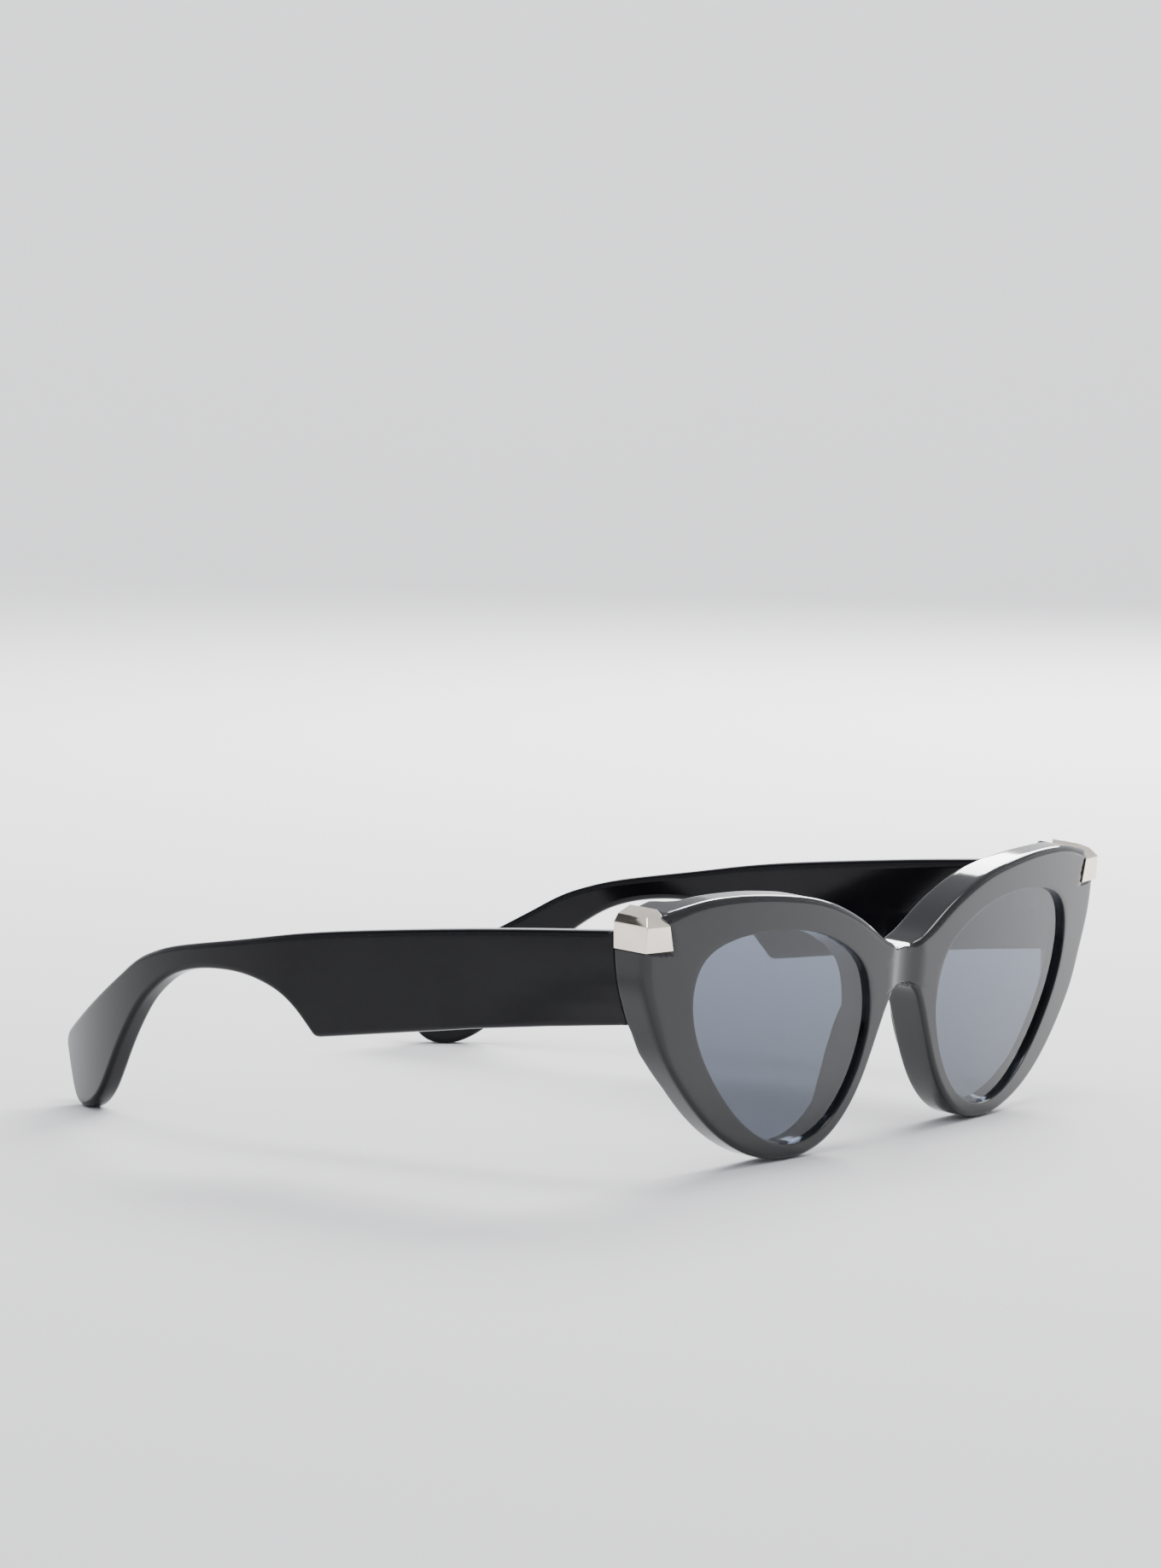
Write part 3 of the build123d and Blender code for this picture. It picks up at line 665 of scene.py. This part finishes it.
def weighted_normals(obj):
    """Each flat face keeps one direction, and the softened edges between them carry the turn."""
    mesh = obj.data
    size = [p.area for p in mesh.polygons]
    total = [Vector() for _ in mesh.vertices]
    for p in mesh.polygons:
        for v in p.vertices:
            total[v] += p.normal * size[p.index]**2
    mesh.normals_split_custom_set_from_vertices([t.normalized() for t in total])


cap = build_cap("cap_left")
both_sides(cap, "corner_cap_left", "corner_cap_right", "front", "front", GOLD)


# ---------------------------------------------------------------- nose pads

PAD_LINE = [(5.0, 26.6), (6.8, 21.7), (9.3, 16.1), (12.1, 11.3), (16.1, 6.8), (21.2, 4.0)]  # across, up
PAD_ACROSS = (2.9, 1.5)  # from one side of the ridge to the other: across, up
PAD_SPLAY = 0.16
PAD_SUNK = 0.6  # how far its foot sits in the rim
PAD_RISE = ([4.2, 5.4, 7.2, 9.5, 14.5, 19.0, 22.0, 24.4, 26.0, 26.6],  # up
            [4.2, 5.3, 6.5, 7.4, 8.4, 8.6, 8.3, 7.2, 5.4, 4.2])  # depth behind the front's face


def build_pad(name):
    """A soft ridge along the nose side of the rim's back, running out into the rim at both ends."""
    stations, steps = 90, 28
    line = smooth_curve(PAD_LINE, stations)
    rise = np.interp(line[:, 1], *PAD_RISE)
    for _ in range(6):
        rise[1:-1] = (rise[:-2] + 2 * rise[1:-1] + rise[2:]) / 4
    base = RIM_DEPTH - PAD_SUNK
    f = np.linspace(0, math.pi, steps)
    across = 0.5 - 0.5 * np.sign(np.cos(f)) * np.abs(np.cos(f))**0.55
    up = np.abs(np.sin(f))**0.5
    depth = base + np.maximum(rise - base, 0.02)[:, None] * up
    x = line[:, :1] + PAD_ACROSS[0] * across + PAD_SPLAY * (depth - base)
    v = line[:, 1:] + PAD_ACROSS[1] * across
    verts = to_row(x, depth, v).reshape(-1, 3)
    faces = grid_faces(stations, steps, wrap_cols=True)
    faces += [tuple(range(steps)), tuple(range((stations - 1) * steps, stations * steps))[::-1]]
    return make_object(name, verts, faces)


pad = build_pad("pad_left")
both_sides(pad, "nose_pad_left", "nose_pad_right", "front", "front", PAD_BLACK)


# ---------------------------------------------------------------- temples

TEMPLE_OUT = 72.0
TEMPLE_THICK = 3.9
TEMPLE_ROUND, FRONT_END_ROUND = 1.0, 0.25
BEND_Y, BEND_R = 79.0, 120.0  # where the arm starts to curve inwards, and how tightly

# The arm's outline as (back, up), in runs that meet at its corners
T_TOP = [(9.3, 42.83), (20, 42.25), (36.0, 41.3), (52, 40.1), (69.0, 38.6), (80, 37.3), (92.0, 35.5),
         (108.0, 33.1), (114, 31.65), (118.0, 30.3), (121.5, 28.6), (124.4, 26.9), (135.8, 20.4),
         (145.9, 14.65)]
T_TIP = [(145.9, 14.65), (147.5, 13.7), (148.7, 12.7), (149.35, 11.5), (149.4, 10.3), (149.0, 9.2)]
T_BACK = [(149.0, 9.2), (147.6, 6.2), (146.2, 3.5)]
T_SOLE = [(146.2, 3.5), (145.0, 1.8), (143.4, 0.55), (140.9, 0.02), (138.2, 0.5), (135.4, 1.9), (132.0, 4.8),
          (127.4, 10.9), (124, 15.4), (120.4, 19.6), (117.3, 22.6), (114.0, 25.0), (110.4, 27.1),
          (106.4, 28.6), (101.5, 29.6), (96.0, 30.0), (91, 29.8), (87.0, 29.1), (83.5, 28.0), (80.6, 26.6),
          (77.8, 24.5), (75.6, 22.3), (74.4, 21.0)]
T_STEP = [(74.4, 21.0), (73.7, 20.3), (73.0, 20.0), (72.0, 20.0)]
T_LOW = [(72.0, 20.0), (56, 21.95), (40.0, 23.9), (24.7, 25.35), (9.3, 26.6)]

# Which point along the top faces which along the bottom
LADDER_TOP = [9.3, 36, 69, 76, 92, 108, 118, 124.4, 135.8, 145.9, 150]
LADDER_LOW = [9.3, 36, 68, 74.6, 87, 101, 112, 119, 130, 140.0, 146.5]


def temple_out(y):
    """The temple's outer face, from the middle plane."""
    back = np.clip(np.asarray(y, float) - BEND_Y, 0, None)
    return TEMPLE_OUT - (BEND_R - np.sqrt(BEND_R**2 - back**2))


def temple_turn(y):
    """How far the arm has turned inwards."""
    back = np.clip(np.asarray(y, float) - BEND_Y, 0, None)
    return np.arcsin(back / BEND_R)


# The arm leans in at its front end: up, and inwards there on the outer face and on the inner
SLANT = ([24.0, 27.5, 30.0, 33.7, 36.5, 39.0], [4.9, 3.4, 2.2, 0.9, 0.28, 0.0])
TOE = ([24.0, 28.8, 30.1], [1.3, 1.3, 0.0])
SLANT_END = 46.0


def slant_in(y, z, u):
    """How far in the arm leans near its front end, where it carries on the end piece's side."""
    fade = np.clip((SLANT_END - np.asarray(y, float)) / (SLANT_END - TEMPLE_START), 0, 1)**1.2
    return fade * ((1 - u) * np.interp(z, *SLANT) + u * np.interp(z, *TOE))


def straight(points, count):
    return even(np.array(points, float), count)


def rung_match(top, low):
    """For each top point, the lower point's index that makes a tidy ladder."""
    at = np.interp(np.maximum.accumulate(top[:, 0]), LADDER_TOP, LADDER_LOW)
    share = np.interp(at, np.maximum.accumulate(low[:, 0]), np.arange(len(low)))
    tip = top[:, 0] > T_TIP[0][0]
    if tip.any():
        first = int(np.argmax(tip))
        share[first:] = np.linspace(share[first], len(low) - 1, len(top) - first)
    return share


def place(p, layer):
    """From the arm's outline, at a depth from its outer face, to the row frame."""
    y = p[:, 0]
    turn = temple_turn(y)
    x = temple_out(y) - layer * np.cos(turn) - slant_in(y, p[:, 1], layer / TEMPLE_THICK)
    return np.column_stack([x, y - layer * np.sin(turn) + FRONT_Y, p[:, 1]]) * MM


def temple_outline():
    """The upper and lower lines, and the closed loop they make with the front end."""
    upper = np.vstack([smooth_curve(T_TOP[:12], 260)[:-1], straight(T_TOP[11:], 50)[:-1],
                       smooth_curve(T_TIP, 60)])
    lower = np.vstack([straight(T_BACK, 26)[:-1], smooth_curve(T_SOLE, 300)[:-1],
                       smooth_curve(T_STEP, 30)[:-1], straight(T_LOW, 120)])
    loop = np.vstack([upper, lower[1:]])
    front_rows = 12
    heights = np.linspace(loop[-1, 1], loop[0, 1], front_rows + 2)[1:-1]
    gap = np.column_stack([np.full(front_rows, TEMPLE_START), heights])
    return upper, lower, np.vstack([loop, gap])


def edge_rows(loop, corner_low):
    """The rounded edge from the outer face to the inner, as lines with their depths."""
    along = np.roll(loop, -1, axis=0) - np.roll(loop, 1, axis=0)
    along /= np.maximum(np.linalg.norm(along, axis=1), 1e-9)[:, None]
    inward = np.column_stack([along[:, 1], -along[:, 0]])
    at_front = loop[:, 0] < TEMPLE_START + 1e-6
    inward[at_front] = (1.0, 0.0)
    inward[0] = (1.0, -1.0)
    inward[corner_low] = (1.0, 1.0)
    rounding = np.where(at_front, FRONT_END_ROUND, TEMPLE_ROUND)
    grown = smoothstep(loop[:, 0], TEMPLE_START, TEMPLE_START + 1.2)
    rounding = np.minimum(rounding, FRONT_END_ROUND + (TEMPLE_ROUND - FRONT_END_ROUND) * grown)
    outer_side = [(1 - math.sin(f), 1 - math.cos(f)) for f in quarter(8)]
    rows = [(rounding * a, rounding * b) for a, b in outer_side]
    rows += [(rounding * b, TEMPLE_THICK - rounding * a) for a, b in outer_side]
    return [(loop + inward * inset[:, None], layer) for inset, layer in rows]


def build_temple(name):
    """A wide arm: its outline carries a rounded edge, and rungs between top and bottom fill both faces."""
    upper, lower, loop = temple_outline()
    rows = edge_rows(loop, len(upper) + len(lower) - 2)
    verts = [place(p, layer) for p, layer in rows]
    faces = grid_faces(len(rows), len(loop), wrap_cols=True)
    total = len(rows) * len(loop)
    rungs = 24
    for p, layer in (rows[0], rows[-1]):
        top = p[:len(upper)]
        low = p[len(upper) - 1:][:len(lower)][::-1]
        share = rung_match(top, low)
        feet = np.column_stack([np.interp(share, np.arange(len(low)), low[:, k]) for k in range(2)])
        grid = np.stack([top + (feet - top) * (r / rungs) for r in range(rungs + 1)], axis=1)
        flat = grid.reshape(-1, 2)
        verts.append(place(flat, np.full(len(flat), float(layer[len(layer) // 3]))))
        faces += grid_faces(len(top), rungs + 1, start=total)
        total += len(flat)
    return make_object(name, np.vstack(verts), faces)


temple = build_temple("arm_left")
both_sides(temple, "temple_left", "temple_right", "temple_left", "temple_right", ARM_BLACK)


# ---------------------------------------------------------------- stage, light and camera

# The camera stands in front and on the wearer's right, a little above.
CAMERA_AT = Vector((-0.8709, -0.5633 + FRONT_Y * MM, 0.1574))
CAMERA_TURN = math.radians(54.05)
CAMERA_PITCH = math.radians(5.23)
SENSOR_MM = 36.0
FOCAL_PIXELS, PICTURE_HEIGHT = 6958, 1836
camera_data = bpy.data.cameras.new("camera")
camera_data.sensor_fit = "AUTO"
camera_data.sensor_width = SENSOR_MM
camera_data.lens = FOCAL_PIXELS / PICTURE_HEIGHT * SENSOR_MM
camera_data.clip_start = 0.01
camera_data.clip_end = 20.0
camera = bpy.data.objects.new("camera", camera_data)
bpy.context.scene.collection.objects.link(camera)
camera.location = CAMERA_AT
camera.rotation_euler = (math.pi / 2 - CAMERA_PITCH, 0, -CAMERA_TURN)
bpy.context.scene.camera = camera


FLOOR_FLAT, BACKDROP_RISE = 1.6, 0.9
FLAT_SHARE = 0.4  # of the rings


def sweep_stage():
    """A floor that curves up into a backdrop all round, so that any view has one."""
    rings, spokes = 40, 96
    verts = []
    for i in range(rings):
        u = i / (rings - 1)
        if u < FLAT_SHARE:
            r, z = FLOOR_FLAT * u / FLAT_SHARE, 0.0
        else:
            a = (u - FLAT_SHARE) / (1 - FLAT_SHARE) * math.pi / 2
            r, z = FLOOR_FLAT + BACKDROP_RISE * math.sin(a), BACKDROP_RISE * (1 - math.cos(a))
        r = max(r, 0.001)
        for k in range(spokes):
            t = 2 * math.pi * k / spokes
            verts.append((r * math.cos(t), r * math.sin(t), z))
    obj = make_object("floor", verts, grid_faces(rings, spokes, wrap_cols=True))
    bm = bmesh.new()
    bm.from_mesh(obj.data)
    bmesh.ops.holes_fill(bm, edges=[e for e in bm.edges if e.is_boundary and e.calc_length() < 0.001])
    bm.to_mesh(obj.data)
    bm.free()
    return obj


floor = sweep_stage()
dress(floor, paper("studio_paper", (0.84, 0.84, 0.85, 1)))


def dark_card(name, where, aim, width, height):
    """A dark panel out of view, which the polished faces turned to it reflect."""
    across = (Vector(aim) - Vector(where)).to_track_quat("-Z", "Y").to_matrix()
    corners = [Vector((x * width / 2, y * height / 2, z)) for z in (0, -0.01)
               for x, y in ((-1, -1), (1, -1), (1, 1), (-1, 1))]
    verts = [Vector(where) + across @ c for c in corners]
    sides = [(k, (k + 1) % 4, 4 + (k + 1) % 4, 4 + k) for k in range(4)]
    card = make_object(name, verts, [(0, 1, 2, 3), (7, 6, 5, 4)] + sides, smooth=False)
    dress(card, paper(name + "_felt", (0.03, 0.03, 0.032, 1)))


CARD_AT, CARD_AIM = (-0.2, 0.85, 1.15), (0, 0, 0.04)
dark_card("overhead_card", CARD_AT, CARD_AIM, 0.7, 0.5)

CENTRE = (0, 0, 0.02)
# Each light as name, place, aim, size and watts
LIGHTS = [
    ("top", (0.1, -0.1, 1.2), CENTRE, (0.6, 0.6), 10.5),
    ("right", (1.05, 0.25, 0.66), CENTRE, (0.75, 0.4), 26.0),
    ("backdrop", (0.4, 0.3, 1.7), (1.7, 1.25, 1.1), (1.2, 1.2), 48.0),
]
for name, where, aim, size, watts in LIGHTS:
    data = bpy.data.lights.new(name, "AREA")
    data.shape = "RECTANGLE"
    data.size, data.size_y = size
    data.energy = watts
    light = bpy.data.objects.new(name, data)
    bpy.context.scene.collection.objects.link(light)
    light.location = where
    light.rotation_euler = (Vector(aim) - Vector(where)).to_track_quat("-Z", "Y").to_euler()

SKY, SKY_STRENGTH = (0.93, 0.95, 1.0, 1), 0.88
world = bpy.data.worlds.new("studio")
world.use_nodes = True
background = world.node_tree.nodes["Background"]
background.inputs["Color"].default_value = SKY
background.inputs["Strength"].default_value = SKY_STRENGTH
bpy.context.scene.world = world
